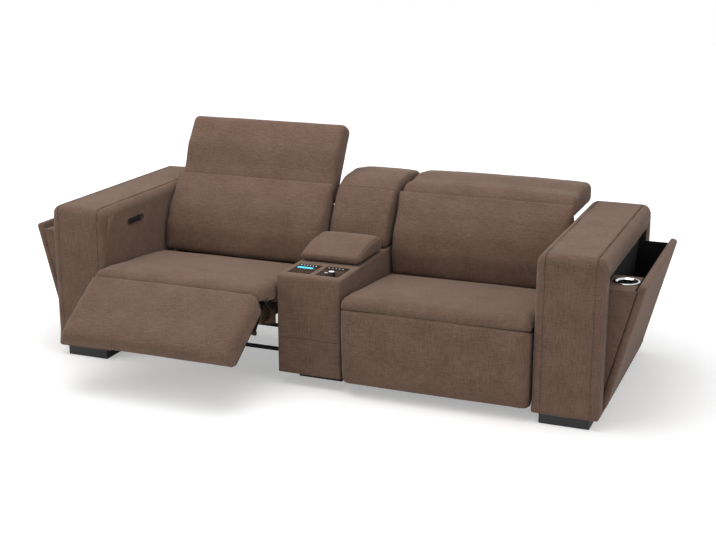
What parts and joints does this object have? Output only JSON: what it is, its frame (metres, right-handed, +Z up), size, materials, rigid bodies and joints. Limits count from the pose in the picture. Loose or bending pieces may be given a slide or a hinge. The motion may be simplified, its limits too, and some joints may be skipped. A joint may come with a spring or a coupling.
{
  "type": "reclining_sofa",
  "caption": "Brown two-seat reclining sofa with a centre console, folding headrests, footrests and tilt-out bins with cup holders in both arms",
  "frame": {"origin": "on the floor under the middle of the sofa's bounding box in the pose of the picture", "axes": "+X runs along the sofa towards the right-hand side of the picture, +Y towards its back, +Z up"},
  "size_m": [2.6156, 1.4108, 0.9456],
  "materials": {
    "cover_fabric": "brown woven upholstery fabric with a soft nap",
    "bin_lining": "dark charcoal lining cloth",
    "chrome_trim": "bright chrome plating",
    "zinc_steel": "zinc plated steel",
    "black_steel": "black powder coat",
    "frame_wood": "unfinished plywood",
    "spring_steel": "bright spring steel",
    "black_plastic": "matt black moulding",
    "foot_plastic": "charcoal moulded block",
    "screen_glass": "polished black glass panel"
  },
  "bodies": {
    "base": {"arm_frames": "bin_lining", "left_arm_cover": "cover_fabric", "right_arm_cover": "cover_fabric", "block_feet": "foot_plastic", "bin_hinge_mounts": "zinc_steel", "control_panels": "chrome_trim", "console_box": "frame_wood", "console_cover": "cover_fabric", "touch_screen": "screen_glass", "charging_pad": "screen_glass", "console_back": "cover_fabric", "seat_bases": "black_steel"},
    "console_lid": {"console_lid_board": "frame_wood", "console_lid_pad": "cover_fabric"},
    "left_bin": {"left_bin_panel": "cover_fabric", "left_bin_box": "bin_lining", "left_bin_shelf": "cover_fabric", "left_cup_holder": "chrome_trim", "left_bin_hinge": "zinc_steel"},
    "left_button_1": {"left_button_1": "black_plastic"},
    "left_button_2": {"left_button_2": "black_plastic"},
    "left_button_3": {"left_button_3": "black_plastic"},
    "left_button_4": {"left_button_4": "black_plastic"},
    "left_seat": {"left_seat_frame": "frame_wood", "left_side_plates": "zinc_steel", "left_seat_cushion": "cover_fabric", "left_seat_springs": "spring_steel", "left_drive_motor": "black_steel"},
    "left_nut": {"left_drive_nut": "zinc_steel"},
    "left_tube": {"left_drive_tube": "black_steel"},
    "left_link": {"left_push_links": "zinc_steel"},
    "left_footrest": {"left_footrest_frame": "black_steel", "left_footrest_pad": "cover_fabric"},
    "left_back": {"left_back_frame": "frame_wood", "left_back_cushion": "cover_fabric"},
    "left_headrest": {"left_headrest_frame": "frame_wood", "left_headrest_cushion": "cover_fabric"},
    "right_bin": {"right_bin_panel": "cover_fabric", "right_bin_box": "bin_lining", "right_bin_shelf": "cover_fabric", "right_cup_holder": "chrome_trim", "right_bin_hinge": "zinc_steel"},
    "right_button_1": {"right_button_1": "black_plastic"},
    "right_button_2": {"right_button_2": "black_plastic"},
    "right_button_3": {"right_button_3": "black_plastic"},
    "right_button_4": {"right_button_4": "black_plastic"},
    "right_seat": {"right_seat_frame": "frame_wood", "right_side_plates": "zinc_steel", "right_seat_cushion": "cover_fabric", "right_seat_springs": "spring_steel", "right_drive_motor": "black_steel"},
    "right_nut": {"right_drive_nut": "zinc_steel"},
    "right_tube": {"right_drive_tube": "black_steel"},
    "right_link": {"right_push_links": "zinc_steel"},
    "right_footrest": {"right_footrest_frame": "black_steel", "right_footrest_pad": "cover_fabric"},
    "right_back": {"right_back_frame": "frame_wood", "right_back_cushion": "cover_fabric"},
    "right_headrest": {"right_headrest_frame": "frame_wood", "right_headrest_cushion": "cover_fabric"}
  },
  "joints": [
    {"name": "left_bin_tilt", "type": "hinge", "parent": "base", "child": "left_bin", "pos_m": [-1.15, 0.13043, 0.062], "axis": [0, -1, 0], "range_deg": [-14.4, 0]},
    {"name": "left_button_1_press", "type": "slide", "parent": "base", "child": "left_button_1", "axis": [-1, 0, 0], "range_m": [0, 0.0012], "stiffness_N_per_m": 800},
    {"name": "left_button_2_press", "type": "slide", "parent": "base", "child": "left_button_2", "axis": [-1, 0, 0], "range_m": [0, 0.0012], "stiffness_N_per_m": 800},
    {"name": "left_button_3_press", "type": "slide", "parent": "base", "child": "left_button_3", "axis": [-1, 0, 0], "range_m": [0, 0.0012], "stiffness_N_per_m": 800},
    {"name": "left_button_4_press", "type": "slide", "parent": "base", "child": "left_button_4", "axis": [-1, 0, 0], "range_m": [0, 0.0012], "stiffness_N_per_m": 800},
    {"name": "left_footrest_swing", "type": "hinge", "parent": "left_seat", "child": "left_footrest", "pos_m": [-0.5275, -0.42657, 0.405], "axis": [-1, 0, 0], "range_deg": [-58, 32]},
    {"name": "left_seat_glide", "type": "slide", "parent": "base", "child": "left_seat", "axis": [0, -0.9701, 0.2425], "range_m": [-0.10308, 0.05687]},
    {"name": "left_tube_turn", "type": "hinge", "parent": "left_seat", "child": "left_tube", "pos_m": [-0.5275, -0.27457, 0.337], "axis": [-1, 0, 0], "range_deg": [-58, 32]},
    {"name": "left_link_turn", "type": "hinge", "parent": "left_tube", "child": "left_link", "pos_m": [-0.5275, -0.36945, 0.22465], "axis": [-1, 0, 0], "range_deg": [-32, 58]},
    {"name": "left_nut_travel", "type": "slide", "parent": "left_seat", "child": "left_nut", "axis": [0, -1, 0], "range_m": [-0.07291, 0.04023]},
    {"name": "left_back_recline", "type": "hinge", "parent": "left_seat", "child": "left_back", "pos_m": [-0.5275, 0.20543, 0.355], "axis": [-1, 0, 0], "range_deg": [-9, 21]},
    {"name": "left_headrest_fold", "type": "hinge", "parent": "left_back", "child": "left_headrest", "pos_m": [-0.5275, 0.35583, 0.66529], "axis": [-1, 0, 0], "range_deg": [0, 70]},
    {"name": "right_bin_tilt", "type": "hinge", "parent": "base", "child": "right_bin", "pos_m": [1.15, 0.13043, 0.062], "axis": [0, 1, 0], "range_deg": [-14.4, 0]},
    {"name": "right_button_1_press", "type": "slide", "parent": "base", "child": "right_button_1", "axis": [1, 0, 0], "range_m": [0, 0.0012], "stiffness_N_per_m": 800},
    {"name": "right_button_2_press", "type": "slide", "parent": "base", "child": "right_button_2", "axis": [1, 0, 0], "range_m": [0, 0.0012], "stiffness_N_per_m": 800},
    {"name": "right_button_3_press", "type": "slide", "parent": "base", "child": "right_button_3", "axis": [1, 0, 0], "range_m": [0, 0.0012], "stiffness_N_per_m": 800},
    {"name": "right_button_4_press", "type": "slide", "parent": "base", "child": "right_button_4", "axis": [1, 0, 0], "range_m": [0, 0.0012], "stiffness_N_per_m": 800},
    {"name": "right_footrest_swing", "type": "hinge", "parent": "right_seat", "child": "right_footrest", "pos_m": [0.5275, -0.32657, 0.38], "axis": [-1, 0, 0], "range_deg": [0, 90]},
    {"name": "right_seat_glide", "type": "slide", "parent": "base", "child": "right_seat", "axis": [0, -0.9701, 0.2425], "range_m": [0, 0.15995]},
    {"name": "right_tube_turn", "type": "hinge", "parent": "right_seat", "child": "right_tube", "pos_m": [0.5275, -0.17457, 0.312], "axis": [-1, 0, 0], "range_deg": [0, 90]},
    {"name": "right_link_turn", "type": "hinge", "parent": "right_tube", "child": "right_link", "pos_m": [0.5275, -0.12957, 0.172], "axis": [-1, 0, 0], "range_deg": [-90, 0]},
    {"name": "right_nut_travel", "type": "slide", "parent": "right_seat", "child": "right_nut", "axis": [0, -1, 0], "range_m": [0, 0.11314]},
    {"name": "right_back_recline", "type": "hinge", "parent": "right_seat", "child": "right_back", "pos_m": [0.5275, 0.30543, 0.33], "axis": [-1, 0, 0], "range_deg": [0, 30]},
    {"name": "right_headrest_fold", "type": "hinge", "parent": "right_back", "child": "right_headrest", "pos_m": [0.5275, 0.40543, 0.66], "axis": [1, 0, 0], "range_deg": [0, 70]},
    {"name": "console_lid_lift", "type": "hinge", "parent": "base", "child": "console_lid", "pos_m": [0, 0.17343, 0.462], "axis": [-1, 0, 0], "range_deg": [0, 35]}
  ],
  "couplings": [
    {"joint": "left_seat_glide", "follows": "left_footrest_swing", "m_per_rad": 0.10183},
    {"joint": "left_tube_turn", "follows": "left_footrest_swing", "ratio": 1},
    {"joint": "left_link_turn", "follows": "left_footrest_swing", "ratio": -1},
    {"joint": "left_nut_travel", "follows": "left_footrest_swing", "m_per_rad": 0.072025},
    {"joint": "right_seat_glide", "follows": "right_footrest_swing", "m_per_rad": 0.10183},
    {"joint": "right_tube_turn", "follows": "right_footrest_swing", "ratio": 1},
    {"joint": "right_link_turn", "follows": "right_footrest_swing", "ratio": -1},
    {"joint": "right_nut_travel", "follows": "right_footrest_swing", "m_per_rad": 0.072025}
  ]
}
